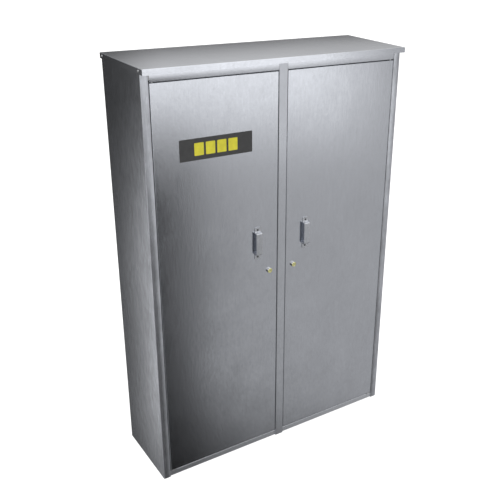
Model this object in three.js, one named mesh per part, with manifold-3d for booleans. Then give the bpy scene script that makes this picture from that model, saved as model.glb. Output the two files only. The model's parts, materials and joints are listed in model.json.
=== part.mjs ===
// Two-door sheet-metal cabinet for standing gas cylinders.
// Millimetres, +Z up, front towards -Y, origin on the floor under the centre of the whole object.
import * as THREE from 'three';
import { mergeVertices } from 'three/addons/utils/BufferGeometryUtils.js';
import Module from 'manifold-3d';

const wasm = await Module();
wasm.setup();

// ---------------------------------------------------------------- driving sizes
const overallHeight = 1800;
const bodyWidth = 1200;
const bodyDepth = 370;
const sheet = 1.5;
const clearance = 0.3;
const foldRadius = 1.5;    // centre line of the bends in folded channels
const foldWidth = 22;      // folds that stiffen the edges of the side panels and the floor pan
const foldRoom = 24;       // a neighbour stops this far inside the side panels to clear their folds

// Lid: a pan over the body, reaching further out at the front than at the rear.
const lidSideGap = 0.5;
const lidFrontOverhang = 28;
const lidRearOverhang = 10;
const lidFlange = 22;

// Front frame.
const stileWidth = 32;
const stileReturn = 25;
const stileCrown = 1.2;
const stileBend = 2;
const postWidth = 40;
const postWing = 12;
const headerBottom = 1746;
const headerDepth = 34;
const deckHeight = 27;
const stripRecess = 5;

// Doors.
const doorGap = 2;         // at the sides and the top
const doorFootGap = 3.5;   // room for the pivot washers
const doorRecess = 1.5;
const doorThickness = 20;
const doorLip = 12;
const hingeInset = 13;
const hingeDepth = 7;
const pinRadius = 4;
const pinEngagement = 16;

// Door furniture, measured from the middle of the cabinet and from the floor.
const handleX = 121;
const handleZ = 1031;
const handleWidth = 28;
const handleReach = 18;
const handleGripHeight = 100;
const handleLength = 146;
const handleScrewSpacing = 122;
const handleSheet = 2.5;
const handleScrewRadius = 1.7;
const handleScrewHole = 1.95;
const lockX = 62;
const lockZ = 892;
const lockHeadRadius = 11;
const lockHeadReach = 9;
const lockBarrelRadius = 9;
const lockPlugRadius = 6.5;
const lockNutRadius = 13.5;
const camLength = 44;

// Sign on the left door.
const signCentreX = -303;
const signCentreZ = 1478.5;
const signWidth = 316;
const signHeight = 86;
const signMarkHeight = 50;
const signMarkWidth = 40;
const signMarkSpacing = 49;

// Cylinder cradle on the rear panel.
const cylinderRadius = 113;
const cylinderCount = 4;
const cradleHeight = 1000;
const cradleDepth = 84;

// ---------------------------------------------------------------- derived places
// The lid reaches furthest both ways, and the origin is under its middle.
const bodyCentreY = (lidFrontOverhang - lidRearOverhang) / 2;
const frontY = bodyCentreY - bodyDepth / 2;
const rearY = bodyCentreY + bodyDepth / 2;
const halfWidth = bodyWidth / 2;
const openingX = halfWidth - stileWidth;
const lidUnderside = overallHeight - sheet;
const panelTop = lidUnderside - clearance;
const doorFaceY = frontY + doorRecess;
const doorRearY = doorFaceY + doorThickness;
const doorOuterX = openingX - doorGap;
const doorInnerX = postWidth / 2 + doorGap;
const doorWidth = doorOuterX - doorInnerX;
const doorBottom = deckHeight + doorFootGap;
const doorTop = headerBottom - doorGap;
const hingeX = doorOuterX - hingeInset;
const hingeY = doorFaceY + hingeDepth;
const wingY = doorRearY + 0.5;

// ---------------------------------------------------------------- materials
function metal(name, colour, roughness, metalness) {
  return new THREE.MeshStandardMaterial({ name, color: colour, roughness, metalness });
}

const zincSheet = metal('zinc_sheet', '#a9abae', 0.34, 0.9);
const zincPanel = metal('zinc_panel', '#97999d', 0.38, 0.9);
const zincFastener = metal('zinc_fastener', '#c0c2c4', 0.3, 0.95);
const brass = metal('brass', '#cfc06a', 0.28, 0.9);
const signBlack = metal('sign_black', '#474747', 0.6, 0);
const signYellow = metal('sign_yellow', '#e8e040', 0.55, 0);
const nylon = metal('nylon', '#d9d8d0', 0.6, 0);

// ---------------------------------------------------------------- solids and booleans
function toSolid(geometry) {
  geometry.deleteAttribute('normal');
  geometry.deleteAttribute('uv');
  const merged = mergeVertices(geometry, 1e-4);
  const mesh = new wasm.Mesh({
    numProp: 3,
    vertProperties: new Float32Array(merged.attributes.position.array),
    triVerts: new Uint32Array(merged.index.array),
  });
  return new wasm.Manifold(mesh);
}

function toGeometry(solid) {
  const mesh = solid.getMesh();
  const geometry = new THREE.BufferGeometry();
  geometry.setAttribute('position', new THREE.BufferAttribute(new Float32Array(mesh.vertProperties), 3));
  geometry.setIndex(new THREE.BufferAttribute(new Uint32Array(mesh.triVerts), 1));
  geometry.computeVertexNormals();
  return geometry;
}

function join(solids) {
  return solids.reduce((whole, solid) => whole.add(solid));
}

function cut(solid, tools) {
  return tools.reduce((rest, tool) => rest.subtract(tool), solid);
}

// A box between two opposite corners, given in any order.
function box(cornerA, cornerB) {
  const a = new THREE.Vector3(...cornerA);
  const b = new THREE.Vector3(...cornerB);
  const size = b.clone().sub(a);
  const geometry = new THREE.BoxGeometry(Math.abs(size.x), Math.abs(size.y), Math.abs(size.z));
  const middle = a.add(b).multiplyScalar(0.5);
  geometry.translate(middle.x, middle.y, middle.z);
  return toSolid(geometry);
}

// A prism of a shape. Along 'z' the shape is drawn in (x, y), along 'x' in (y, z), along 'y' in (x, z).
function prism(shape, axis, from, to) {
  const extrusion = { depth: to - from, bevelEnabled: false, curveSegments: 10 };
  const geometry = new THREE.ExtrudeGeometry(shape, extrusion);
  const x = new THREE.Vector3(1, 0, 0);
  const y = new THREE.Vector3(0, 1, 0);
  const z = new THREE.Vector3(0, 0, 1);
  if (axis === 'z') {
    geometry.translate(0, 0, from);
  } else if (axis === 'x') {
    geometry.applyMatrix4(new THREE.Matrix4().makeBasis(y, z, x));
    geometry.translate(from, 0, 0);
  } else {
    geometry.applyMatrix4(new THREE.Matrix4().makeBasis(x, z, y.negate()));
    geometry.translate(0, to, 0);
  }
  return toSolid(geometry);
}

// A turned piece about a line along 'y' or 'z'; profile points are [radius, distance along the axis].
function turned(profile, axis, [x, y, z], segments = 32) {
  const points = profile.map(([radius, along]) => new THREE.Vector2(radius, along));
  const geometry = new THREE.LatheGeometry([...points, points[0].clone()], segments);
  if (axis === 'z') {
    geometry.rotateX(Math.PI / 2);
  }
  geometry.translate(x, y, z);
  return toSolid(geometry);
}

// A round bar or drill along 'x', 'y' or 'z' through the given centre, from one distance to another.
function round(radius, axis, centre, from, to, segments = 24) {
  const geometry = new THREE.CylinderGeometry(radius, radius, to - from, segments);
  geometry.translate(0, (from + to) / 2, 0);
  if (axis === 'x') {
    geometry.rotateZ(-Math.PI / 2);
  } else if (axis === 'z') {
    geometry.rotateX(Math.PI / 2);
  }
  geometry.translate(...centre);
  return toSolid(geometry);
}

const longestArcStep = 6;

// The outline of bent sheet: its centre line runs straight between the corners [x, y, bend radius]
// and turns round each one on an arc.
function bentSheet(corners, thickness, bendRadius) {
  const near = [];
  const far = [];
  const addPair = (centre, normal) => {
    near.push(centre.clone().addScaledVector(normal, thickness / 2));
    far.unshift(centre.clone().addScaledVector(normal, -thickness / 2));
  };
  const leftOf = (direction) => new THREE.Vector2(-direction.y, direction.x);
  const places = corners.map(([x, y]) => new THREE.Vector2(x, y));
  places.forEach((here, index) => {
    const into = index > 0 ? here.clone().sub(places[index - 1]).normalize() : null;
    const outOf = index < places.length - 1 ? places[index + 1].clone().sub(here).normalize() : null;
    if (!into || !outOf) {
      addPair(here, leftOf(into ?? outOf));
      return;
    }
    const turn = Math.atan2(into.cross(outOf), into.dot(outOf));
    const radius = corners[index][2] ?? bendRadius;
    const inside = leftOf(into).multiplyScalar(Math.sign(turn));
    const start = here.clone().addScaledVector(into, -radius * Math.tan(Math.abs(turn) / 2));
    const bendCentre = start.clone().addScaledVector(inside, radius);
    const byAngle = Math.ceil(Math.abs(turn) / (Math.PI / 10));
    const byLength = Math.ceil((Math.abs(turn) * radius) / longestArcStep);
    const steps = Math.max(1, byAngle, byLength);
    for (let step = 0; step <= steps; step += 1) {
      const outwards = inside.clone().negate().rotateAround(new THREE.Vector2(), (turn * step) / steps);
      const along = outwards.clone().rotateAround(new THREE.Vector2(), (Math.sign(turn) * Math.PI) / 2);
      addPair(bendCentre.clone().addScaledVector(outwards, radius), leftOf(along));
    }
  });
  return new THREE.Shape([...near, ...far]);
}

// A block standing on z = 0 whose four upper edges are rounded.
function roundedBlock(width, depth, height, radius) {
  const outline = (half) => {
    const shape = new THREE.Shape();
    shape.moveTo(-half, 0);
    shape.lineTo(half, 0);
    shape.absarc(half - radius, height - radius, radius, 0, Math.PI / 2, false);
    shape.absarc(-half + radius, height - radius, radius, Math.PI / 2, Math.PI, false);
    return shape;
  };
  const alongX = prism(outline(depth / 2), 'x', -width / 2, width / 2);
  const alongY = prism(outline(width / 2), 'y', -depth / 2, depth / 2);
  return alongX.intersect(alongY);
}

// A folded pan, open underneath, with its rim at z = 0; lip is the width of an optional inward fold.
function foldedPan(width, depth, height, bend, lip) {
  const outer = roundedBlock(width, depth, height, bend + sheet);
  const inner = roundedBlock(width - 2 * sheet, depth - 2 * sheet, height - sheet, bend);
  const pan = outer.subtract(inner);
  if (!lip) {
    return pan;
  }
  const halfX = width / 2;
  const halfY = depth / 2;
  const rim = box([-halfX, -halfY, 0], [halfX, halfY, sheet]);
  const hole = box([-halfX + lip, -halfY + lip, -1], [halfX - lip, halfY - lip, sheet + 1]);
  return pan.add(rim.subtract(hole));
}

// ---------------------------------------------------------------- scene graph
const cabinet = new THREE.Group();

function place(name, solid, material, group = cabinet) {
  const mesh = new THREE.Mesh(toGeometry(solid), material);
  mesh.name = name;
  group.add(mesh);
  return mesh;
}

// Left is -X and right is +X; both sides are built by the same functions.
const sides = [
  { name: 'left', sign: -1 },
  { name: 'right', sign: 1 },
];

// Mirrors a list of [x, y] points for one side.
function onSide(sign, points) {
  return points.map(([x, ...rest]) => [sign * x, ...rest]);
}

// ---------------------------------------------------------------- body panels
const lidScrewInset = { front: 7, rear: 13 };
const lidScrewRadius = 1.6;
const lidScrewHole = 1.9;
const lidScrewLength = 6.5;
const lidScrewZ = overallHeight - 11;
const lidScrewPlaces = [
  { name: 'front', y: frontY + lidScrewInset.front },
  { name: 'rear', y: rearY - lidScrewInset.rear },
];
const lidOuterX = halfWidth + lidSideGap + sheet;

function buildLid() {
  const lidFront = frontY - lidFrontOverhang;
  const lidRear = rearY + lidRearOverhang;
  const pan = foldedPan(2 * lidOuterX, lidRear - lidFront, lidFlange, lidSideGap, 0)
    .translate([0, (lidFront + lidRear) / 2, overallHeight - lidFlange]);
  const reach = lidOuterX + 2;
  const holes = lidScrewPlaces.map(({ y }) => round(lidScrewHole, 'x', [0, y, lidScrewZ], -reach, reach));
  place('lid', cut(pan, holes), zincSheet);
}

function buildSidePanel({ name, sign }) {
  const skinX = halfWidth - sheet / 2;
  const stileY = frontY + sheet / 2;
  const returnX = openingX + sheet / 2;
  // The stile face is a shallow arch between the outer corner and the opening edge.
  const crownPoints = [0.3, 0.5, 0.7].map((share) => {
    const rise = stileCrown * (1 - (2 * share - 1) ** 2);
    return [skinX + (returnX - skinX) * share, stileY + stileCrown - rise, 20];
  });
  const profile = bentSheet(onSide(sign, [
    [skinX - foldWidth, rearY - sheet / 2],
    [skinX, rearY - sheet / 2],
    [skinX, stileY + stileCrown],
    ...crownPoints,
    [returnX, stileY + stileCrown],
    [returnX, frontY + stileReturn],
  ]), sheet, stileBend);
  const panel = prism(profile, 'z', 0, panelTop);
  // Fold at the top under the lid and fold at the foot on the floor, clear of the front and rear folds.
  const foldFront = frontY + stileReturn + 8;
  const foldRear = rearY - 12;
  const foldInner = sign * (halfWidth - foldWidth);
  const foldOuter = sign * (halfWidth - sheet / 2);
  const topFold = box([foldInner, foldFront, panelTop - sheet], [foldOuter, foldRear, panelTop]);
  const footFold = box([foldInner, foldFront, 0], [foldOuter, foldRear, sheet]);
  const reach = halfWidth + 2;
  const holes = lidScrewPlaces.map(({ y }) => round(lidScrewHole, 'x', [0, y, lidScrewZ], -reach, reach));
  place(`${name}_side_panel`, cut(join([panel, topFold, footFold]), holes), zincPanel);
}

const rearPanelY = rearY - sheet - clearance - sheet;

function buildRearPanel() {
  const bendRoom = 2.5;
  const foldDepth = 18;
  const halfSpan = halfWidth - sheet - bendRoom;
  const halfFold = halfSpan - foldRoom;
  const top = panelTop - sheet - clearance;
  const face = box([-halfSpan, rearPanelY, deckHeight + clearance], [halfSpan, rearPanelY + sheet, top]);
  const topFold = box([-halfFold, rearPanelY - foldDepth, top - sheet], [halfFold, rearPanelY + sheet, top]);
  place('rear_panel', face.add(topFold), zincPanel);
}

// The deck carries the cylinders; its front fold shows as the strip under the doors.
function buildFloorPan() {
  const deckMid = deckHeight - sheet / 2;
  const stripY = frontY + stripRecess + sheet / 2;
  const rearFoldY = rearPanelY - clearance - sheet / 2;
  const rearCorners = [[rearFoldY, deckMid], [rearFoldY, sheet / 2], [rearFoldY - foldWidth, sheet / 2]];
  const frontCorners = [[stripY + foldWidth, sheet / 2], [stripY, sheet / 2], [stripY, deckMid]];
  const betweenStiles = openingX - 1;
  const betweenSides = halfWidth - sheet - 1.5;
  const betweenFolds = betweenSides - foldRoom;
  const behindStiles = frontY + stileReturn + 3;
  const whole = bentSheet([...frontCorners, ...rearCorners], sheet, foldRadius);
  const deck = bentSheet([[behindStiles, deckMid], rearCorners[0]], sheet, foldRadius);
  const rearFoot = bentSheet(rearCorners, sheet, foldRadius);
  const middle = prism(whole, 'x', -betweenStiles, betweenStiles);
  const wide = prism(deck, 'x', -betweenSides, betweenSides);
  const rearStrip = prism(rearFoot, 'x', -betweenFolds, betweenFolds);
  place('floor_pan', join([middle, wide, rearStrip]), zincSheet);
}

// ---------------------------------------------------------------- front frame
function buildCentrePost() {
  const wallX = (postWidth - sheet) / 2;
  const faceY = frontY + sheet / 2;
  const wingCentreY = wingY + sheet / 2;
  const wingX = postWidth / 2 + postWing;
  const profile = bentSheet([
    [-wingX, wingCentreY],
    [-wallX, wingCentreY],
    [-wallX, faceY],
    [wallX, faceY],
    [wallX, wingCentreY],
    [wingX, wingCentreY],
  ], sheet, foldRadius);
  const channel = prism(profile, 'z', 0, panelTop - 1);
  const wingTop = headerBottom - 1;
  const beyond = wingX + 5;
  const behind = wingY + 10;
  const aboveWings = sides.map(({ sign }) => box(
    [sign * (postWidth / 2), frontY + 8, wingTop],
    [sign * beyond, behind, overallHeight],
  ));
  const overDeck = box([-beyond, frontY + stripRecess - 1, -1], [beyond, behind, deckHeight + clearance]);
  place('centre_post', cut(channel, [...aboveWings, overDeck]), zincSheet);
}

const headerFaceY = frontY + 1;
const headerSlant = { height: 15, inset: 1, radius: 360 };

function buildHeader({ name, sign }) {
  const faceY = headerFaceY + sheet / 2;
  const rearEdgeY = headerFaceY + headerDepth;
  const topZ = panelTop - 1 - sheet / 2;
  const bottomZ = headerBottom + sheet / 2;
  // The lower part of the face curves in slightly towards its fold.
  const profile = bentSheet([
    [rearEdgeY, topZ],
    [faceY, topZ],
    [faceY, bottomZ + headerSlant.height, headerSlant.radius],
    [faceY + headerSlant.inset, bottomZ],
    [rearEdgeY, bottomZ],
  ], sheet, foldRadius);
  const ends = [sign * (postWidth / 2 + 0.5), sign * (openingX - 3)];
  const channel = prism(profile, 'x', Math.min(...ends), Math.max(...ends));
  const pinHole = round(pinRadius + 0.4, 'z', [sign * hingeX, hingeY, 0], headerBottom - 5, headerBottom + 6);
  place(`${name}_header`, channel.subtract(pinHole), zincSheet);
}

// ---------------------------------------------------------------- hinges
const lowerPlate = 2;
const upperPlate = 3;
const doublerPlate = 3;
const upperPlateBottom = headerBottom + 6.5;
const plateReach = 17;
const pinHeadRadius = 5.5;
const pinHeadHeight = 3;
const washerRadius = 6.2;

function buildUpperPivot({ name, sign }) {
  const legHeight = 34;
  const legX = openingX - clearance - upperPlate / 2;
  const plateZ = upperPlateBottom + upperPlate / 2;
  const profile = bentSheet(onSide(sign, [
    [legX, plateZ + legHeight],
    [legX, plateZ],
    [hingeX - plateReach, plateZ],
  ]), upperPlate, 3);
  const bracket = prism(profile, 'y', hingeY - pinRadius - 0.7, frontY + stileReturn - 1);
  const pinHole = round(pinRadius + 0.3, 'z', [sign * hingeX, hingeY, 0], plateZ - 5, plateZ + 5);
  place(`${name}_upper_pivot_bracket`, bracket.subtract(pinHole), zincFastener);

  const headBottom = upperPlateBottom + upperPlate + clearance;
  const headTop = headBottom + pinHeadHeight;
  const pinEnd = doorTop - pinEngagement;
  const pin = turned([
    [0, pinEnd],
    [pinRadius - 1, pinEnd],
    [pinRadius, pinEnd + 1],
    [pinRadius, headBottom],
    [pinHeadRadius, headBottom],
    [pinHeadRadius, headTop],
    [0, headTop],
  ], 'z', [sign * hingeX, hingeY, 0], 24);
  place(`${name}_upper_hinge_pin`, pin, zincFastener);
}

function buildLowerPivot({ name, sign }) {
  const plateBottom = deckHeight + clearance;
  const plateTop = plateBottom + lowerPlate;
  const plateDepth = 44;
  const plate = box(
    [sign * (openingX - 0.5), doorFaceY + 0.7, plateBottom],
    [sign * (hingeX - plateReach), frontY + plateDepth, plateTop],
  );
  const pinHole = round(pinRadius + 0.15, 'z', [sign * hingeX, hingeY, 0], plateBottom - 1, plateTop + 1);
  place(`${name}_lower_pivot_plate`, plate.subtract(pinHole), zincFastener);

  const pinTop = doorBottom + pinEngagement;
  const pin = turned([
    [0, plateBottom],
    [pinRadius, plateBottom],
    [pinRadius, pinTop - 1],
    [pinRadius - 1, pinTop],
    [0, pinTop],
  ], 'z', [sign * hingeX, hingeY, 0], 24);
  place(`${name}_lower_hinge_pin`, pin, zincFastener);

  const washerBottom = plateTop + 0.2;
  const washerTop = doorBottom - 0.2;
  const washer = turned([
    [pinRadius + 0.3, washerBottom],
    [washerRadius, washerBottom],
    [washerRadius, washerTop],
    [pinRadius + 0.3, washerTop],
  ], 'z', [sign * hingeX, hingeY, 0], 24);
  place(`${name}_pivot_washer`, washer, nylon);
}

// ---------------------------------------------------------------- doors
const doorFoldRadius = 0.8;
const lockHoleRadius = lockBarrelRadius + 0.4;

function handleScrewHeights() {
  return [
    { name: 'upper', z: handleZ + handleScrewSpacing / 2 },
    { name: 'lower', z: handleZ - handleScrewSpacing / 2 },
  ];
}

function buildDoor({ name, sign }) {
  const centreX = (sign * (doorOuterX + doorInnerX)) / 2;
  const centreZ = (doorBottom + doorTop) / 2;
  const pan = foldedPan(doorWidth, doorTop - doorBottom, doorThickness, doorFoldRadius, doorLip)
    .rotate([90, 0, 0])
    .translate([centreX, doorRearY, centreZ]);
  const pinHoles = [doorBottom, doorTop].map((z) => (
    round(pinRadius + 0.35, 'z', [sign * hingeX, hingeY, z], -5, 5)
  ));
  const lockHole = round(lockHoleRadius, 'y', [sign * lockX, doorFaceY, lockZ], -5, 5, 32);
  const screwHoles = handleScrewHeights().map(({ z }) => (
    round(handleScrewHole, 'y', [sign * handleX, doorFaceY, z], -5, 5, 16)
  ));
  place(`${name}_door`, cut(pan, [...pinHoles, lockHole, ...screwHoles]), zincPanel);
}

// A top-hat channel behind the door skin keeps the tall panel flat.
function buildStiffener({ name, sign }) {
  const halfCrest = 20;
  const halfFoot = 36;
  const endGap = 34;
  const centreX = (sign * (doorOuterX + doorInnerX)) / 2;
  const footY = doorFaceY + sheet + clearance + sheet / 2;
  const crestY = doorRearY - sheet / 2 - clearance;
  const profile = bentSheet([
    [centreX - halfFoot, footY],
    [centreX - halfCrest, footY],
    [centreX - halfCrest, crestY],
    [centreX + halfCrest, crestY],
    [centreX + halfCrest, footY],
    [centreX + halfFoot, footY],
  ], sheet, foldRadius);
  place(`${name}_door_stiffener`, prism(profile, 'z', doorBottom + endGap, doorTop - endGap), zincFastener);
}

// Plates behind the top and bottom folds of each door take the hinge pins.
function buildDoorPivotPlates({ name, sign }) {
  const behindSkin = doorFaceY + sheet + clearance;
  const beforeLip = doorRearY - sheet - clearance;
  const edgeX = doorOuterX - sheet - clearance;
  const levels = [
    { name: 'lower', from: doorBottom + sheet + clearance },
    { name: 'upper', from: doorTop - sheet - clearance - doublerPlate },
  ];
  levels.forEach((level) => {
    const plate = box(
      [sign * edgeX, behindSkin, level.from],
      [sign * (hingeX - plateReach), beforeLip, level.from + doublerPlate],
    );
    const hole = round(pinRadius + 0.3, 'z', [sign * hingeX, hingeY, level.from], -1, doublerPlate + 1);
    place(`${name}_door_${level.name}_pivot_plate`, plate.subtract(hole), zincFastener);
  });
}

// ---------------------------------------------------------------- handles
function buildHandle({ name, sign }) {
  const tabY = doorFaceY - clearance - handleSheet / 2;
  const gripY = doorFaceY - clearance - handleReach + handleSheet / 2;
  const legZ = (handleGripHeight - handleSheet) / 2;
  const tabEnd = handleLength / 2;
  const profile = bentSheet([
    [tabY, handleZ - tabEnd],
    [tabY, handleZ - legZ],
    [gripY, handleZ - legZ],
    [gripY, handleZ + legZ],
    [tabY, handleZ + legZ],
    [tabY, handleZ + tabEnd],
  ], handleSheet, 3.5);
  const from = sign * handleX - handleWidth / 2;
  const bracket = prism(profile, 'x', from, from + handleWidth);
  const holes = handleScrewHeights().map(({ z }) => (
    round(handleScrewHole, 'y', [sign * handleX, tabY, z], -4, 4, 16)
  ));
  place(`${name}_handle`, cut(bracket, holes), zincFastener);
}

// Pan-head screw through the handle tab and the door skin, with a hexagonal nut behind.
function buildHandleFastener({ name, sign }, { name: level, z }) {
  const x = sign * handleX;
  const headFace = doorFaceY - clearance - handleSheet - clearance;
  const shankEnd = doorFaceY + sheet + 6;
  const screw = turned([
    [0, headFace - 2.4],
    [2.4, headFace - 2.4],
    [3.6, headFace - 1.6],
    [4, headFace],
    [handleScrewRadius, headFace],
    [handleScrewRadius, shankEnd],
    [0, shankEnd],
  ], 'y', [x, 0, z], 20);
  const drive = box([x - 3, headFace - 3, z - 0.5], [x + 3, headFace - 1.3, z + 0.5]);
  place(`${name}_handle_${level}_screw`, screw.subtract(drive), zincFastener);

  const nutFrom = doorFaceY + sheet + clearance;
  const nut = round(4.05, 'y', [x, nutFrom, z], 0, 3.2, 6);
  const bore = round(handleScrewHole, 'y', [x, nutFrom, z], -1, 5, 20);
  place(`${name}_handle_${level}_nut`, nut.subtract(bore), zincFastener);
}

// ---------------------------------------------------------------- cam locks
const lockFaceY = doorFaceY - clearance - lockHeadReach;
const lockRearY = wingY + sheet + 0.5;
const camThickness = 2.5;
const camFront = lockRearY + clearance;
const camRear = camFront + camThickness;
const camSquare = 7;

function buildLockBody({ name, sign }) {
  const headBack = doorFaceY - clearance;
  const bore = lockPlugRadius + 0.3;
  const housing = turned([
    [bore, lockFaceY],
    [lockHeadRadius - 1, lockFaceY],
    [lockHeadRadius, lockFaceY + 1],
    [lockHeadRadius, headBack],
    [lockBarrelRadius, headBack],
    [lockBarrelRadius, lockRearY],
    [bore, lockRearY],
  ], 'y', [sign * lockX, 0, lockZ], 36);
  place(`${name}_lock_body`, housing, brass);
}

function buildLockNut({ name, sign }) {
  const nutFrom = doorFaceY + sheet + clearance;
  const nut = round(lockNutRadius, 'y', [sign * lockX, nutFrom, lockZ], 0, 4, 6);
  const bore = round(lockBarrelRadius + 0.3, 'y', [sign * lockX, nutFrom, lockZ], -1, 5, 36);
  place(`${name}_lock_nut`, nut.subtract(bore), zincFastener);
}

// The plug turns in the housing; a square tail drives the cam behind it.
function buildLockPlug({ name, sign }) {
  const x = sign * lockX;
  const barrel = turned([
    [0, lockFaceY + 0.4],
    [lockPlugRadius, lockFaceY + 0.4],
    [lockPlugRadius, lockRearY],
    [0, lockRearY],
  ], 'y', [x, 0, lockZ], 32);
  const half = camSquare / 2;
  const tail = box([x - half, lockRearY - 1, lockZ - half], [x + half, camRear - clearance, lockZ + half]);
  const keyway = box([x - 1, lockFaceY - 1, lockZ - 4], [x + 1, lockFaceY + 12, lockZ + 4]);
  const threadHole = round(2, 'y', [x, camRear, lockZ], -12, 3, 16);
  place(`${name}_lock_plug`, cut(barrel.add(tail), [keyway, threadHole]), brass);
}

// The cam hangs down while the lock is open, clear of the centre post.
function buildLockCam({ name, sign }) {
  const x = sign * lockX;
  const rootRadius = 9;
  const tipRadius = 5;
  const outline = new THREE.Shape();
  outline.absarc(x, lockZ, rootRadius, 0, Math.PI, false);
  outline.absarc(x, lockZ - camLength + tipRadius, tipRadius, Math.PI, 2 * Math.PI, false);
  const blade = prism(outline, 'y', camFront, camRear);
  const half = camSquare / 2 + 0.25;
  const square = box([x - half, camFront - 1, lockZ - half], [x + half, camRear + 1, lockZ + half]);
  place(`${name}_lock_cam`, blade.subtract(square), zincFastener);

  const screwHeadFace = camRear + clearance;
  const screw = turned([
    [0, camRear - 8],
    [1.7, camRear - 8],
    [1.7, screwHeadFace],
    [6, screwHeadFace],
    [5, screwHeadFace + 2.6],
    [0, screwHeadFace + 2.6],
  ], 'y', [x, 0, lockZ], 24);
  place(`${name}_cam_screw`, screw, zincFastener);
}

// ---------------------------------------------------------------- sign, lid screws, cradle
function buildSign() {
  const backY = doorFaceY - clearance;
  const frontFace = backY - 1;
  const halfW = signWidth / 2;
  const halfH = signHeight / 2;
  const plate = box(
    [signCentreX - halfW, frontFace, signCentreZ - halfH],
    [signCentreX + halfW, backY, signCentreZ + halfH],
  );
  place('sign_plate', plate, signBlack);
  [-1.5, -0.5, 0.5, 1.5].forEach((step, index) => {
    const x = signCentreX - 3 + step * signMarkSpacing;
    const mark = box(
      [x - signMarkWidth / 2, frontFace - clearance - 0.4, signCentreZ - signMarkHeight / 2],
      [x + signMarkWidth / 2, frontFace - clearance, signCentreZ + signMarkHeight / 2],
    );
    place(`sign_mark_${index + 1}`, mark, signYellow);
  });
}

function buildLidScrews({ name, sign }) {
  lidScrewPlaces.forEach((spot) => {
    const headFace = lidOuterX + clearance;
    const tip = headFace - lidScrewLength;
    const profile = [
      [0, tip],
      [lidScrewRadius / 2, tip],
      [lidScrewRadius, tip + 1],
      [lidScrewRadius, headFace],
      [4.5, headFace],
      [4, headFace + 1.4],
      [2.4, headFace + 2.2],
      [0, headFace + 2.2],
    ];
    const points = profile.map(([radius, along]) => new THREE.Vector2(radius, along));
    const geometry = new THREE.LatheGeometry([...points, points[0].clone()], 20);
    geometry.rotateZ((-sign * Math.PI) / 2);
    geometry.translate(0, spot.y, lidScrewZ);
    place(`lid_screw_${name}_${spot.name}`, toSolid(geometry), zincFastener);
  });
}

// A shelf with half-round bays holds the cylinders upright, with a fold down the rear panel.
function buildCradle() {
  const rearEdge = rearPanelY - clearance;
  const frontEdge = rearEdge - cradleDepth;
  const halfSpan = halfWidth - 8;
  const plate = 3;
  const foldHeight = 40;
  const webBehindBay = 12;
  const top = cradleHeight + plate;
  const shelf = box([-halfSpan, frontEdge, cradleHeight], [halfSpan, rearEdge, top]);
  const fold = box([-halfSpan, rearEdge - plate, cradleHeight - foldHeight], [halfSpan, rearEdge, top]);
  const pitch = (2 * halfSpan) / cylinderCount;
  const bayY = rearEdge - webBehindBay - cylinderRadius;
  const bays = Array.from({ length: cylinderCount }, (_, index) => {
    const x = -halfSpan + pitch * (index + 0.5);
    return round(cylinderRadius, 'z', [x, bayY, cradleHeight], -5, plate + 5, 48);
  });
  place('cylinder_cradle', cut(shelf.add(fold), bays), zincFastener);
}

// ---------------------------------------------------------------- assembly
buildLid();
buildRearPanel();
buildFloorPan();
buildCentrePost();
buildCradle();
buildSign();
sides.forEach((side) => {
  buildSidePanel(side);
  buildHeader(side);
  buildUpperPivot(side);
  buildLowerPivot(side);
  buildDoor(side);
  buildStiffener(side);
  buildDoorPivotPlates(side);
  buildHandle(side);
  handleScrewHeights().forEach((level) => buildHandleFastener(side, level));
  buildLockBody(side);
  buildLockNut(side);
  buildLockPlug(side);
  buildLockCam(side);
  buildLidScrews(side);
});

export default cabinet;
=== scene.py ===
"""Studio look of a two-door zinc-coated cabinet for gas cylinders, in the CAD's own frame (metres, +Z up)."""

import json
import math

import bmesh
import bpy
from mathutils import Matrix, Vector


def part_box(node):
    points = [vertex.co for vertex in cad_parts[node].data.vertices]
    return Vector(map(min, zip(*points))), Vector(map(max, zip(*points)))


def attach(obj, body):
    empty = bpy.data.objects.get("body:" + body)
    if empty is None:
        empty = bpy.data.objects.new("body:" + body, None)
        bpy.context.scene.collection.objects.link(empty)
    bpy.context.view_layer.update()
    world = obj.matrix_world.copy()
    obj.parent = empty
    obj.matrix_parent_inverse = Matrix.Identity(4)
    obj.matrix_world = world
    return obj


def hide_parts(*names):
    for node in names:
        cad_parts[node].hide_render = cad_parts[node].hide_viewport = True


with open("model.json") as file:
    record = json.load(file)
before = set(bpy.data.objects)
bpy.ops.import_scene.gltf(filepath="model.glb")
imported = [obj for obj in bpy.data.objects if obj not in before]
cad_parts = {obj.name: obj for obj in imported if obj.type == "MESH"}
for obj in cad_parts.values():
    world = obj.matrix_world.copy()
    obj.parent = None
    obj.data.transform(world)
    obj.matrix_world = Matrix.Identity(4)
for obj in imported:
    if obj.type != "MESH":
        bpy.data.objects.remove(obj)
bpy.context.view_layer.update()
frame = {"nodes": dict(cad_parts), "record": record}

MM = 0.001

# ---------------------------------------------------------------- camera
CAMERA_PLACE = Vector((-1.6247, -2.6868, 2.2893))
CAMERA_FORWARD = Vector((0.53222, 0.74873, -0.39515))
CAMERA_ROLL = math.radians(1.76)
LENS_MM = 54.16
SENSOR_MM = 36
SHIFT_X = -0.1235
SHIFT_Y = -0.0115

# ---------------------------------------------------------------- sizes of the new pieces
HANDLE_SHEET = 2.5 * MM
HANDLE_GRIP = 100.0 * MM
HANDLE_BEND = 3.6 * MM
HANDLE_EDGE = 0.6 * MM
HANDLE_TAB_CORNER = 5.0 * MM
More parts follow.
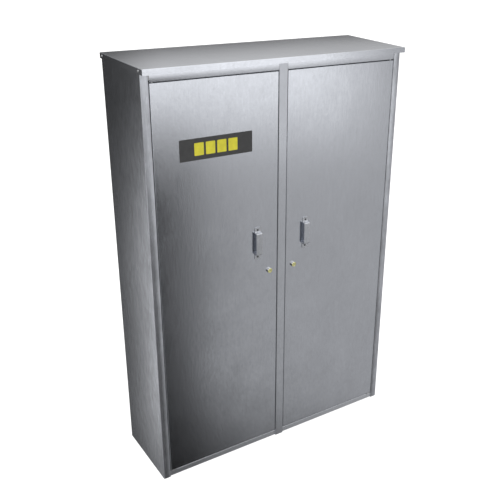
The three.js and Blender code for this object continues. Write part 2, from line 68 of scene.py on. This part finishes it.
# How far through a tab's rounded corner each of its sections stands, closest together at the end.
TAB_SHARES = (0.0, 0.06, 0.2, 0.45, 0.75, 1.0)
BEND_STEPS = 8
LOCK_HEAD_REACH = 9.0 * MM
LOCK_DOME = 1.2 * MM
DOME_STEPS = 6
LOCK_BORE_RADIUS = 6.8 * MM
LOCK_BORE_CHAMFER = 0.4 * MM
LOCK_BARREL_RADIUS = 9.0 * MM
ROUND_SEGMENTS = 48
SIGN_CORNER = 4.0 * MM
SIGN_EDGE = 0.6 * MM
MARK_CORNER = 3.0 * MM
MARK_EDGE = 0.3 * MM
MARK_COUNT = 4
PLATE_EDGE_STEPS = 3

# ---------------------------------------------------------------- rounding of the carried-over parts
WELD_DISTANCE = 0.01 * MM
EDGE_ROUNDING = 0.25 * MM
SHARP_ANGLE = math.radians(35)

# ---------------------------------------------------------------- finishes, linear colours
SHEET_COLOUR = (0.592, 0.610, 0.654)
PANEL_COLOUR = (0.574, 0.592, 0.636)
# Painted light: the strip's colour is much lighter than the sheet's, so that it renders brighter.
STRIP_PAINTED_LIGHT_COLOUR = (0.800, 0.820, 0.870)
ZINC_COLOUR = (0.640, 0.645, 0.655)
HANDLE_COLOUR = (0.585, 0.600, 0.635)
BRASS_COLOUR = (1.000, 0.960, 0.480)
NICKEL_COLOUR = (0.780, 0.780, 0.790)
SCREW_COLOUR = (0.090, 0.090, 0.094)
SIGN_COLOUR = (0.048, 0.048, 0.049)
MARK_COLOUR = (0.800, 0.730, 0.050)
NYLON_COLOUR = (0.700, 0.690, 0.640)
RUBBED_METAL = 1.3
RUBBED_PLASTIC = 1.25

SHEET_ROUGHNESS = 0.175
STRIP_ROUGHNESS = 0.30
FITTING_ROUGHNESS = 0.30
SCREW_ROUGHNESS = 0.35
BRASS_ROUGHNESS = 0.12
SIGN_ROUGHNESS = 0.55
PLASTIC_ROUGHNESS = 0.5

# What front faces add to the roughness, low down and high up.
POST_DULLER = (0.0, 0.20)
STILE_DULLER = (0.13, 0.20)
DULLER_HEIGHTS = (1.30, 1.70)
# Painted shade: how much of their colour the strip's upward faces keep.
STRIP_PAINTED_TOP_SHADE = 0.5
# How far the tone varies, and how many blotches there are to a metre.
SHEET_CONTRAST = 0.065
SHEET_MOTTLING = 95.0
SIDE_CONTRAST = 0.34
SIDE_MOTTLING = 42.0
GRAIN_STRETCH = 0.05
SCRATCH_STRETCH = 0.08
BLOTCH_STRETCH = 0.5

# Roughly how many features a texture has to a metre.
GRAIN_DENSITY = 900.0
STREAK_DENSITY = 240.0
CLOUD_DENSITY = 5.0
WAVE_DENSITY = 2.1
SPECKLE_DENSITY = 260.0
STAIN_DENSITY = 70.0
SCRATCH_DENSITY = 420.0
MOULD_DENSITY = 900.0
DUST_DENSITY = 34.0

# Relief. The mottle's depth is for one blotch to a metre, and smaller blotches are shallower.
WAVE_DEPTH = 1.6 * MM
MOTTLE_DEPTH = 8.0 * MM
STREAK_DEPTH = 0.006 * MM
GRAIN_DEPTH = 0.004 * MM
FITTING_DEPTH = 0.01 * MM
FILM_DEPTH = 0.01 * MM
PLASTIC_DEPTH = 0.02 * MM

# How far in from an edge the rubbing shows.
SHEET_WORN = 1.1 * MM
FITTING_WORN = 0.6 * MM
PLASTIC_WORN = 0.5 * MM

# ---------------------------------------------------------------- light
# The cards stand upright behind the cabinet.
SIDE_CARD = {"y": 1.3, "left": -2.8, "right": -0.82, "bottom": -1.9, "top": 1.75}
LID_CARD = {"y": 0.6, "left": -0.75, "right": 2.0, "bottom": 1.80, "top": 2.6}
SIDE_FADE_FROM = -1.164
SIDE_FADE_PER_METRE = 11.5
SIDE_FADE_PEAK = 0.32
# How strongly the room glows from each direction, and how much of a glow is left in its dimmer parts.
LOW_RIGHT_GLOW = 0.53
LOW_LEFT_GLOW = 0.08
FAR_LEFT_GLOW = 0.32
STEEP_GLOW = 0.30
NEAR_FLOOR_SHARE = 0.15
HIGH_LEFT_GLOW = 1.48
HIGH_RIGHT_GLOW = 0.40
AHEAD_SHARE = 0.66
BEHIND_LOW_GLOW = 0.03
BEHIND_LEVEL_GLOW = 0.28
BEHIND_LEFT_GLOW = 0.2
OVERHEAD_GLOW = 1.1
DARK_LINE_LEAN = 0.2
FLOOR_HALF = 30.0
FLOOR_COLOUR = (0.3, 0.3, 0.3, 1.0)
FLOOR_GLOW = 0.93
WHITE = (1.0, 1.0, 1.0, 1.0)


# ---------------------------------------------------------------- node graphs
class Graph:
    """Adds nodes to one node tree and links them."""

    def __init__(self, tree):
        self.tree = tree

    def add(self, kind, inputs=None, **settings):
        """One node. Inputs are named or numbered, each a plain value or another node's output."""
        node = self.tree.nodes.new(kind)
        for name, value in settings.items():
            setattr(node, name, value)
        for name, value in (inputs or {}).items():
            self.feed(node.inputs[name], value)
        return node

    def feed(self, socket, value):
        if isinstance(value, bpy.types.NodeSocket):
            self.tree.links.new(value, socket)
        else:
            socket.default_value = value

    def math(self, operation, a, b=0.0, clamp=False):
        node = self.add("ShaderNodeMath", {0: a, 1: b}, operation=operation, use_clamp=clamp)
        return node.outputs[0]

    def plus(self, a, b):
        return self.math("ADD", a, b)

    def times(self, a, b):
        return self.math("MULTIPLY", a, b)

    def blend(self, share, a, b):
        """a where the share is 1 and b where it is 0."""
        return self.plus(self.times(a, share), self.times(b, self.math("SUBTRACT", 1.0, share)))

    def spread(self, value, low, high, out_low=0.0, out_high=1.0, smooth=False):
        """Maps the range low..high on to out_low..out_high and holds it there. Low may be above high."""
        node = self.add(
            "ShaderNodeMapRange",
            {"Value": value, "From Min": low, "From Max": high, "To Min": out_low, "To Max": out_high},
            interpolation_type="SMOOTHSTEP" if smooth else "LINEAR",
        )
        return node.outputs["Result"]

    def mix_colour(self, share, a, b):
        """Colour a where the share is 0 and b where it is 1."""
        node = self.add("ShaderNodeMix", data_type="RGBA")
        self.feed(node.inputs[0], share)
        self.feed(node.inputs[6], a)
        self.feed(node.inputs[7], b)
        return node.outputs[2]

    def noise(self, coordinates, scale, detail=2.0, roughness=0.5, distortion=0.0):
        node = self.add(
            "ShaderNodeTexNoise",
            {
                "Vector": coordinates,
                "Scale": scale,
                "Detail": detail,
                "Roughness": roughness,
                "Distortion": distortion,
            },
        )
        return node.outputs["Fac"]

    def stretched(self, coordinates, scales):
        node = self.add("ShaderNodeMapping", {"Vector": coordinates, "Scale": scales})
        return node.outputs["Vector"]

    def parts(self, vector):
        """A vector's x, y and z."""
        return self.add("ShaderNodeSeparateXYZ", {0: vector}).outputs

    def bump(self, height, distance, strength=1.0, normal=None):
        inputs = {"Height": height, "Distance": distance, "Strength": strength}
        if normal is not None:
            inputs["Normal"] = normal
        return self.add("ShaderNodeBump", inputs).outputs["Normal"]


def grey(colour, factor):
    """The colour made darker or lighter, as red, green, blue and alpha."""
    return (colour[0] * factor, colour[1] * factor, colour[2] * factor, 1.0)


def start_material(name):
    """An empty material, its graph, its shader and the part's own coordinates in metres."""
    material = bpy.data.materials.new(name)
    material.use_nodes = True
    graph = Graph(material.node_tree)
    shader = material.node_tree.nodes["Principled BSDF"]
    coordinates = graph.add("ShaderNodeTexCoord").outputs["Object"]
    return material, graph, shader, coordinates


def edge_mask(graph, radius):
    """1 on rounded edges and corners, 0 on flat stretches."""
    rounded = graph.add("ShaderNodeBevel", {"Radius": radius}, samples=4).outputs["Normal"]
    plain = graph.add("ShaderNodeNewGeometry").outputs["Normal"]
    dot = graph.add("ShaderNodeVectorMath", {0: rounded, 1: plain}, operation="DOT_PRODUCT").outputs["Value"]
    return graph.spread(dot, 0.995, 0.86)


def own_normal(graph):
    """The surface direction in the part's own axes, as x, y and z."""
    return graph.parts(graph.add("ShaderNodeTexCoord").outputs["Normal"])


# ---------------------------------------------------------------- sheet metal
def sheet_noises(graph, coordinates, along, mottling):
    """The sheet's fine grain and streaks along 'x' or 'z', its clouds and mottle, and its slow waves."""
    if along == "x":
        grain_scales = (GRAIN_STRETCH, 1.0, 1.0)
        blotch_scales = (1.0, 1.0, 1.0)
    else:
        grain_scales = (1.0, 1.0, GRAIN_STRETCH)
        blotch_scales = (1.0, 1.0, BLOTCH_STRETCH)
    grain = graph.stretched(coordinates, grain_scales)
    blotches = graph.stretched(coordinates, blotch_scales)
    return {
        "fine": graph.noise(grain, GRAIN_DENSITY, detail=2.0),
        "streaks": graph.noise(grain, STREAK_DENSITY, detail=3.0, roughness=0.65),
        "clouds": graph.noise(coordinates, CLOUD_DENSITY, detail=5.0, roughness=0.62, distortion=0.4),
        "mottle": graph.noise(blotches, mottling, detail=4.0, roughness=0.65),
        "waves": graph.noise(coordinates, WAVE_DENSITY, detail=1.0),
    }


def sheet_roughness(graph, roughness, patches, fine, worn):
    """A little rougher on dull patches and smoother on worn edges, with a fine grain."""
    rough = graph.spread(patches, 0.36, 0.62, roughness + 0.02, roughness - 0.02)
    rough = graph.plus(rough, graph.spread(fine, 0.3, 0.7, -0.02, 0.02))
    return graph.math("SUBTRACT", rough, graph.times(worn, 0.08), clamp=True)


def duller_front(graph, coordinates, duller):
    """What front faces add to the roughness, going by height from the first amount to the second."""
    _, forward, _ = own_normal(graph)
    by_height = graph.spread(graph.parts(coordinates)["Z"], *DULLER_HEIGHTS, *duller, smooth=True)
    return graph.times(graph.spread(forward, -0.5, -0.9), by_height)


def sheet_bumps(graph, noises, mottling):
    """Slow waves in the sheet, shallow mottle and the least of a grain."""
    normal = graph.bump(noises["waves"], WAVE_DEPTH, 0.5)
    normal = graph.bump(noises["mottle"], MOTTLE_DEPTH / mottling, 1.0, normal)
    normal = graph.bump(noises["streaks"], STREAK_DEPTH, 1.0, normal)
    return graph.bump(noises["fine"], GRAIN_DEPTH, 1.0, normal)


def sheet_metal(name, colour, roughness, along, duller=None, painted_top_shade=None,
                contrast=SHEET_CONTRAST, mottling=SHEET_MOTTLING):
    """Zinc-coated sheet with grain along 'x' or 'z', clouds of duller zinc and bare bright edges, and, where
    asked, painted shade on upward faces.
    """
    material, graph, shader, coordinates = start_material(name)
    noises = sheet_noises(graph, coordinates, along, mottling)
    patches = graph.blend(0.6, noises["clouds"], noises["mottle"])
    bare = graph.spread(noises["mottle"], 0.35, 0.6, 0.45, 1.0)
    worn = graph.times(edge_mask(graph, SHEET_WORN), bare)

    tone = graph.spread(graph.blend(0.7, patches, noises["streaks"]), 0.34, 0.66)
    surface = graph.mix_colour(tone, grey(colour, 1.0 - contrast), grey(colour, 1.0 + contrast))
    surface = graph.mix_colour(worn, surface, grey(colour, RUBBED_METAL))
    # Painted shade: upward faces darkened to the given share of the colour.
    if painted_top_shade:
        _, _, upward = own_normal(graph)
        surface = graph.mix_colour(graph.spread(upward, 0.1, 0.5), surface, grey(colour, painted_top_shade))
    graph.feed(shader.inputs["Base Color"], surface)

    rough = sheet_roughness(graph, roughness, patches, noises["fine"], worn)
    if duller:
        rough = graph.math("ADD", rough, duller_front(graph, coordinates, duller), clamp=True)
    graph.feed(shader.inputs["Roughness"], rough)
    graph.feed(shader.inputs["Normal"], sheet_bumps(graph, noises, mottling))
    shader.inputs["Metallic"].default_value = 1.0
    return material


# ---------------------------------------------------------------- fittings, plastic and film
def rim_with_painted_shade(graph, front, rim_colour):
    """The given colour on front faces, and a rim in its own colour on top, with painted shade that turns it
    nearly black underneath.
    """
    _, forward, upward = own_normal(graph)
    # Painted shade: the rim keeps its colour on faces turned up and goes nearly black on the rest.
    lit = graph.spread(upward, 0.05, 0.45)
    rim = graph.mix_colour(lit, grey(rim_colour, 0.06), grey(rim_colour, 1.0))
    return graph.mix_colour(graph.spread(forward, -0.45, -0.8), rim, front)


def small_metal(name, colour, roughness, rim_colour=None):
    """Plated or plain small hardware: speckled tone, fine scratches, brighter rubbed edges, and with a rim
    colour, a rim with painted shade underneath.
    """
    material, graph, shader, coordinates = start_material(name)
    speckle = graph.noise(coordinates, SPECKLE_DENSITY, detail=4.0, roughness=0.7)
    stains = graph.noise(coordinates, STAIN_DENSITY, detail=3.0, roughness=0.6, distortion=0.6)
    lengthways = graph.stretched(coordinates, (1.0, 1.0, SCRATCH_STRETCH))
    scratches = graph.noise(lengthways, SCRATCH_DENSITY, detail=3.0, roughness=0.65)
    tone = graph.blend(0.5, speckle, stains)
    worn = edge_mask(graph, FITTING_WORN)

    body = graph.mix_colour(graph.spread(tone, 0.36, 0.64), grey(colour, 0.8), grey(colour, 1.12))
    if rim_colour:
        body = rim_with_painted_shade(graph, body, rim_colour)
    graph.feed(shader.inputs["Base Color"], graph.mix_colour(worn, body, grey(colour, RUBBED_METAL)))

    rough = graph.spread(tone, 0.36, 0.64, roughness + 0.08, roughness - 0.05)
    rough = graph.math("SUBTRACT", rough, graph.times(worn, 0.06), clamp=True)
    graph.feed(shader.inputs["Roughness"], rough)

    normal = graph.bump(scratches, FITTING_DEPTH, 0.7)
    graph.feed(shader.inputs["Normal"], graph.bump(speckle, FITTING_DEPTH, 0.5, normal))
    shader.inputs["Metallic"].default_value = 1.0
    return material


def moulded(name, colour, roughness, lighter, depth):
    """Plastic, film or nylon: fine mould texture, faint dust and paler rubbed edges."""
    material, graph, shader, coordinates = start_material(name)
    texture = graph.noise(coordinates, MOULD_DENSITY, detail=3.0, roughness=0.6)
    dust = graph.noise(coordinates, DUST_DENSITY, detail=5.0, roughness=0.66)
    body = graph.mix_colour(graph.spread(dust, 0.38, 0.66), grey(colour, 0.92), grey(colour, lighter))
    rubbed = grey(colour, lighter * RUBBED_PLASTIC)
    surface = graph.mix_colour(edge_mask(graph, PLASTIC_WORN), body, rubbed)
    graph.feed(shader.inputs["Base Color"], surface)
    rough = graph.spread(dust, 0.35, 0.65, roughness - 0.06, roughness + 0.08)
    graph.feed(shader.inputs["Roughness"], rough)
    graph.feed(shader.inputs["Normal"], graph.bump(texture, depth, 0.6))
    return material


# ---------------------------------------------------------------- light, floor and camera
def low_front(graph, x, z):
    """From low in front: dark left of a leaning line, a little lighter beyond it, dimmer near the floor."""
    beyond_line = graph.math("SUBTRACT", x, graph.times(z, DARK_LINE_LEAN))
    light = graph.spread(beyond_line, 0.450, 0.502, 0.0, LOW_RIGHT_GLOW, smooth=True)
    light = graph.times(light, graph.spread(z, -0.645, -0.555, NEAR_FLOOR_SHARE, 1.0, smooth=True))
    light = graph.plus(light, graph.spread(beyond_line, 0.38, 0.24, 0.0, LOW_LEFT_GLOW, smooth=True))
    light = graph.plus(light, graph.spread(x, 0.0, -0.5, 0.0, FAR_LEFT_GLOW))
    # Steeply down: grey again, so that the doors aren't black when seen from high up.
    return graph.plus(light, graph.spread(z, -0.74, -0.84, 0.0, STEEP_GLOW, smooth=True))


def high_front(graph, x):
    """From higher up in front: bright, falling off to the right and a little straight ahead."""
    light = graph.spread(x, 0.57, 0.66, HIGH_LEFT_GLOW, HIGH_RIGHT_GLOW, smooth=True)
    return graph.times(light, graph.spread(x, 0.10, 0.30, AHEAD_SHARE, 1.0, smooth=True))


def from_behind(graph, x, z):
    """Dark low down, moderate at eye level and white overhead, with a little more to the left."""
    light = graph.spread(z, -0.46, -0.2, BEHIND_LOW_GLOW, BEHIND_LEVEL_GLOW, smooth=True)
    light = graph.plus(light, graph.spread(z, 0.2, 0.5, 0.0, OVERHEAD_GLOW, smooth=True))
    return graph.plus(light, graph.spread(x, -0.1, -0.5, 0.0, BEHIND_LEFT_GLOW))


def add_world():
    """White to the camera; to the metal, a soft room, bright above and dark to the lower left front."""
    world = bpy.data.worlds.new("studio_world")
    bpy.context.scene.world = world
    world.use_nodes = True
    world.node_tree.nodes.clear()
    graph = Graph(world.node_tree)
    x, y, z = graph.parts(graph.add("ShaderNodeTexCoord").outputs["Generated"])
    raised = graph.spread(z, -0.30, -0.178, 0.0, 1.0, smooth=True)
    front = graph.blend(raised, high_front(graph, x), low_front(graph, x, z))
    room = graph.blend(graph.spread(y, 0.08, -0.08), front, from_behind(graph, x, z))
    seen = graph.add("ShaderNodeLightPath").outputs["Is Camera Ray"]
    strength = graph.blend(seen, 1.0, room)
    background = graph.add("ShaderNodeBackground", {"Color": WHITE, "Strength": strength})
    graph.add("ShaderNodeOutputWorld", {"Surface": background.outputs[0]})


def studio_face(name, corners, material):
    """One flat face that belongs to the studio and not to the cabinet."""
    mesh = bpy.data.meshes.new(name)
    mesh.from_pydata(corners, [], [(0, 1, 2, 3)])
    mesh.materials.append(material)
    face = bpy.data.objects.new(name, mesh)
    bpy.context.scene.collection.objects.link(face)
    return face


def add_floor():
    """A plain pale floor, nearly as white as the room, that the metal doesn't mirror."""
    material = bpy.data.materials.new("studio_floor")
    material.use_nodes = True
    inputs = material.node_tree.nodes["Principled BSDF"].inputs
    inputs["Base Color"].default_value = FLOOR_COLOUR
    inputs["Roughness"].default_value = 1.0
    inputs["Specular IOR Level"].default_value = 0.0
    inputs["Emission Color"].default_value = WHITE
    inputs["Emission Strength"].default_value = FLOOR_GLOW
    half = FLOOR_HALF
    corners = [(-half, -half, 0), (half, -half, 0), (half, half, 0), (-half, half, 0)]
    floor = studio_face("studio_floor", corners, material)
    floor.visible_glossy = False
    floor.visible_diffuse = False


def add_card(name, paint, y, left, right, bottom, top):
    """An upright card that only the metal sees; paint gives its glow from x and z."""
    material = bpy.data.materials.new(name)
    material.use_nodes = True
    material.node_tree.nodes.clear()
    graph = Graph(material.node_tree)
    x, _, z = graph.parts(graph.add("ShaderNodeNewGeometry").outputs["Position"])
    glow = graph.add("ShaderNodeEmission", {"Strength": paint(graph, x, z)})
    graph.add("ShaderNodeOutputMaterial", {"Surface": glow.outputs[0]})
    corners = [(left, y, bottom), (right, y, bottom), (right, y, top), (left, y, top)]
    card = studio_face(name, corners, material)
    card.visible_camera = False
    card.visible_shadow = False


def paint_side_card(graph, x, z):
    """Brightest far to the left, dimmer towards the cabinet's back, and dimmer high up and low down."""
    past_start = graph.math("SUBTRACT", x, SIDE_FADE_FROM)
    fade = graph.math("EXPONENT", graph.times(past_start, -SIDE_FADE_PER_METRE))
    fade = graph.math("MINIMUM", graph.times(fade, SIDE_FADE_PEAK), 1.0)
    high_up = graph.spread(z, 0.35, 1.35, 1.0, 0.15)
    low_down = graph.spread(z, -1.2, -0.7, 0.45, 1.0)
    base = graph.spread(z, -0.9, 1.4, 0.03, 0.036)
    return graph.plus(graph.times(fade, graph.times(high_up, low_down)), base)


def paint_lid_card(graph, x, z):
    """Brighter upwards, so that the lid's front mirrors more than its rear, and dimmer at both ends."""
    by_height = graph.spread(z, 1.865, 1.965, 0.16, 0.73)
    left_end = graph.spread(x, -0.5, -0.15, 0.5, 1.0, smooth=True)
    right_end = graph.spread(x, 0.5, 1.2, 1.0, 0.86)
    return graph.times(by_height, graph.times(left_end, right_end))


def add_cards():
    """Two cards close behind the cabinet, one for its left side and one for its lid."""
    add_card("side_card", paint_side_card, **SIDE_CARD)
    add_card("lid_card", paint_lid_card, **LID_CARD)


def add_camera():
    """The camera at the photograph's viewing angle."""
    data = bpy.data.cameras.new("studio_camera")
    data.lens = LENS_MM
    data.sensor_width = SENSOR_MM
    data.shift_x = SHIFT_X
    data.shift_y = SHIFT_Y
    camera = bpy.data.objects.new("studio_camera", data)
    level = CAMERA_FORWARD.to_track_quat("-Z", "Y").to_matrix().to_4x4()
    roll = Matrix.Rotation(CAMERA_ROLL, 4, "Z")
    camera.matrix_world = Matrix.Translation(CAMERA_PLACE) @ level @ roll
    bpy.context.scene.collection.objects.link(camera)
    bpy.context.scene.camera = camera


# ---------------------------------------------------------------- finishes on the carried-over parts
materials = {
    "galvanised_sheet": sheet_metal("zinc_sheet_upright", SHEET_COLOUR, SHEET_ROUGHNESS, "z"),
    "galvanised_panel": sheet_metal("zinc_panel_upright", PANEL_COLOUR, SHEET_ROUGHNESS, "z"),
    "zinc_fastener": small_metal("zinc_fastener", ZINC_COLOUR, FITTING_ROUGHNESS),
    "handle_steel": small_metal("handle_steel", HANDLE_COLOUR, FITTING_ROUGHNESS),
    "brass": small_metal("brass", BRASS_COLOUR, BRASS_ROUGHNESS, rim_colour=NICKEL_COLOUR),
    "sign_black": moulded("sign_black", SIGN_COLOUR, SIGN_ROUGHNESS, 1.25, PLASTIC_DEPTH),
    "sign_yellow": moulded("sign_yellow", MARK_COLOUR, PLASTIC_ROUGHNESS, 1.08, FILM_DEPTH),
    "nylon": moulded("nylon", NYLON_COLOUR, PLASTIC_ROUGHNESS, 1.1, PLASTIC_DEPTH),
}
level_sheet = sheet_metal("zinc_sheet_level", SHEET_COLOUR, SHEET_ROUGHNESS, "x")
# The strip under the doors: painted light in its lighter colour, and painted shade on its upward faces.
painted_light_strip = sheet_metal("zinc_strip_painted_light", STRIP_PAINTED_LIGHT_COLOUR, STRIP_ROUGHNESS, "x", painted_top_shade=STRIP_PAINTED_TOP_SHADE)
post_sheet = sheet_metal("zinc_sheet_post", SHEET_COLOUR, SHEET_ROUGHNESS, "z", POST_DULLER)
stile_panel = sheet_metal("zinc_panel_stile", PANEL_COLOUR, SHEET_ROUGHNESS, "z", STILE_DULLER,
                          contrast=SIDE_CONTRAST, mottling=SIDE_MOTTLING)
dark_screw = small_metal("dark_screw", SCREW_COLOUR, SCREW_ROUGHNESS)
OWN_FINISH = {
    "lid": level_sheet,
    "left_header": level_sheet,
    "right_header": level_sheet,
    "floor_pan": painted_light_strip,
    "centre_post": post_sheet,
    "left_side_panel": stile_panel,
    "right_side_panel": stile_panel,
    "left_handle_upper_screw": dark_screw,
    "left_handle_lower_screw": dark_screw,
    "right_handle_upper_screw": dark_screw,
    "right_handle_lower_screw": dark_screw,
}


def shade_flat_faces(piece):
    """Keeps flat faces looking flat beside rounded ones."""
    shading = piece.modifiers.new("flat_face_shading", "WEIGHTED_NORMAL")
    shading.keep_sharp = False


def soften(node):
    """Welds a carried-over part's split corners and rounds its sharp edges a little."""
    weld = node.modifiers.new("weld", "WELD")
    weld.merge_threshold = WELD_DISTANCE
    bevel = node.modifiers.new("edge_rounding", "BEVEL")
    bevel.width = EDGE_ROUNDING
    bevel.segments = 2
    bevel.limit_method = "ANGLE"
    bevel.angle_limit = SHARP_ANGLE
    bevel.use_clamp_overlap = True
    shade_flat_faces(node)


def dress_nodes():
    """Gives each carried-over part its own finish or its slot's, and soft edges."""
    slot_of = {part["node"]: part["material_slot"] for part in frame["record"]["subparts"]}
    for name, node in frame["nodes"].items():
        node.data.materials.clear()
        node.data.materials.append(OWN_FINISH.get(name, materials[slot_of[name]]))
        soften(node)


# ---------------------------------------------------------------- new pieces
def loft(name, rings, closed=False):
    """A mesh through rings of equally many points. The end rings are filled, or joined when closed."""
    form = bmesh.new()
    loops = [[form.verts.new(point) for point in ring] for ring in rings]
    pairs = list(zip(loops, loops[1:]))
    if closed:
        pairs.append((loops[-1], loops[0]))
    else:
        form.faces.new(loops[0])
        form.faces.new(loops[-1])
    for here, there in pairs:
        for index in range(len(here)):
            before = index - 1
            form.faces.new((here[before], here[index], there[index], there[before]))
    bmesh.ops.recalc_face_normals(form, faces=form.faces)
    for face in form.faces:
        face.smooth = True
    mesh = bpy.data.meshes.new(name)
    form.to_mesh(mesh)
    form.free()
    piece = bpy.data.objects.new(name, mesh)
    bpy.context.scene.collection.objects.link(piece)
    shade_flat_faces(piece)
    return piece


def stand_in(piece, node, body, slot):
    """The piece rides with a body, is shown in place of a node and takes a finish."""
    piece.data.materials.append(materials[slot])
    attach(piece, body)
    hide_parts(node)


def rounded_outline(half_width, half_height, radius, steps=6):
    """Points round a rectangle with round corners, anticlockwise from its lower right."""
    outline = []
    corners = ((1, -1, -90), (1, 1, 0), (-1, 1, 90), (-1, -1, 180))
    for side_x, side_y, first_angle in corners:
        for step in range(steps + 1):
            angle = math.radians(first_angle + 90 * step / steps)
            outline.append((
                side_x * (half_width - radius) + radius * math.cos(angle),
                side_y * (half_height - radius) + radius * math.sin(angle),
            ))
    return outline


def rounded_plate(name, node, corner_radius, edge_radius):
    """A thin upright plate in a node's box, with round corners and a softly rounded front edge."""
    low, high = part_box(node)
    centre = (low + high) / 2
    half_width = (high.x - low.x) / 2
    half_height = (high.z - low.z) / 2
    levels = [(high.y, 0.0), (low.y + edge_radius, 0.0)]
    for step in range(1, PLATE_EDGE_STEPS + 1):
        turn = math.radians(90 * step / PLATE_EDGE_STEPS)
        levels.append((low.y + edge_radius * (1 - math.sin(turn)), edge_radius * (1 - math.cos(turn))))
    rings = []
    for y, inset in levels:
        outline = rounded_outline(half_width - inset, half_height - inset, corner_radius - inset)
        rings.append([(centre.x + x, y, centre.z + z) for x, z in outline])
    return loft(name, rings)


def bend_points(before, corner, after):
    """A round bend at a corner of the strip's centre line, as places and headings."""
    heading = (corner - before).normalized()
    leaving = (after - corner).normalized()
    points = []
    for step in range(BEND_STEPS + 1):
        angle = math.radians(90 * step / BEND_STEPS)
        back = heading * (1 - math.sin(angle))
        aside = leaving * (1 - math.cos(angle))
        place = corner + (aside - back) * HANDLE_BEND
        points.append((place, heading * math.cos(angle) + leaving * math.sin(angle)))
    return points


def handle_line(low, high):
    """The strip's centre line in (y, z), lower tab's end to upper tab's end, as places and headings."""
    tab_y = high.y - HANDLE_SHEET / 2
    grip_y = low.y + HANDLE_SHEET / 2
    middle = (low.z + high.z) / 2
    half_grip = (HANDLE_GRIP - HANDLE_SHEET) / 2
    corners = [
        Vector((tab_y, low.z)),
        Vector((tab_y, middle - half_grip)),
        Vector((grip_y, middle - half_grip)),
        Vector((grip_y, middle + half_grip)),
        Vector((tab_y, middle + half_grip)),
        Vector((tab_y, high.z)),
    ]
    up = Vector((0.0, 1.0))
    line = [(corners[0] + up * share * HANDLE_TAB_CORNER, up) for share in TAB_SHARES]
    for before, corner, after in zip(corners, corners[1:], corners[2:]):
        line += bend_points(before, corner, after)
    line += [(corners[-1] - up * share * HANDLE_TAB_CORNER, up) for share in reversed(TAB_SHARES)]
    return line


def build_handle(side):
    """The pull handle: one strip bent out from two screwed tabs with rounded corners."""
    node = f"{side}_handle"
    low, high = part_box(node)
    centre_x = (low.x + high.x) / 2
    half_width = (high.x - low.x) / 2
    rings = []
    for place, heading in handle_line(low, high):
        from_end = min(place.y - low.z, high.z - place.y)
        cut = max(0.0, HANDLE_TAB_CORNER - from_end)
        inset = HANDLE_TAB_CORNER - math.sqrt(HANDLE_TAB_CORNER**2 - cut**2)
        section = rounded_outline(half_width - inset, HANDLE_SHEET / 2, HANDLE_EDGE, steps=3)
        ring = [(centre_x + x, place.x - heading.y * out, place.y + heading.x * out) for x, out in section]
        rings.append(ring)
    stand_in(loft(f"{side}_pull_handle", rings), node, f"{side}_door_body", "handle_steel")


def lock_profile(low, high):
    """The lock housing's section as radius and y: bore, domed head, then barrel."""
    head_radius = (high.x - low.x) / 2
    head_back = low.y + LOCK_HEAD_REACH
    profile = [
        (LOCK_BORE_RADIUS, high.y),
        (LOCK_BORE_RADIUS, low.y + LOCK_BORE_CHAMFER),
        (LOCK_BORE_RADIUS + LOCK_BORE_CHAMFER, low.y),
    ]
    for step in range(DOME_STEPS + 1):
        turn = math.radians(90 * step / DOME_STEPS)
        radius = head_radius - LOCK_DOME * (1 - math.sin(turn))
        profile.append((radius, low.y + LOCK_DOME * (1 - math.cos(turn))))
    profile += [
        (head_radius, head_back - LOCK_BORE_CHAMFER),
        (head_radius - LOCK_BORE_CHAMFER, head_back),
        (LOCK_BARREL_RADIUS, head_back),
        (LOCK_BARREL_RADIUS, high.y),
    ]
    return profile


def build_lock_body(side):
    """The lock's housing: a domed round head in front of the door and a plain barrel behind it."""
    node = f"{side}_lock_body"
    low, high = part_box(node)
    centre = (low + high) / 2
    turns = [2 * math.pi * step / ROUND_SEGMENTS for step in range(ROUND_SEGMENTS)]
    rings = []
    for radius, y in lock_profile(low, high):
        ring = [(centre.x + radius * math.cos(turn), y, centre.z + radius * math.sin(turn)) for turn in turns]
        rings.append(ring)
    stand_in(loft(f"{side}_lock_housing", rings, closed=True), node, f"{side}_door_body", "brass")


def build_sign():
    """The dark sign plate with plain raised yellow marks in place of lettering."""
    plate = rounded_plate("sign_board", "sign_plate", SIGN_CORNER, SIGN_EDGE)
    stand_in(plate, "sign_plate", "left_door_body", "sign_black")
    for number in range(1, MARK_COUNT + 1):
        node = f"sign_mark_{number}"
        mark = rounded_plate(f"sign_block_{number}", node, MARK_CORNER, MARK_EDGE)
        stand_in(mark, node, "left_door_body", "sign_yellow")


dress_nodes()
build_sign()
for door_side in ("left", "right"):
    build_handle(door_side)
    build_lock_body(door_side)
add_world()
add_floor()
add_cards()
add_camera()
bpy.context.scene.view_settings.view_transform = "Standard"
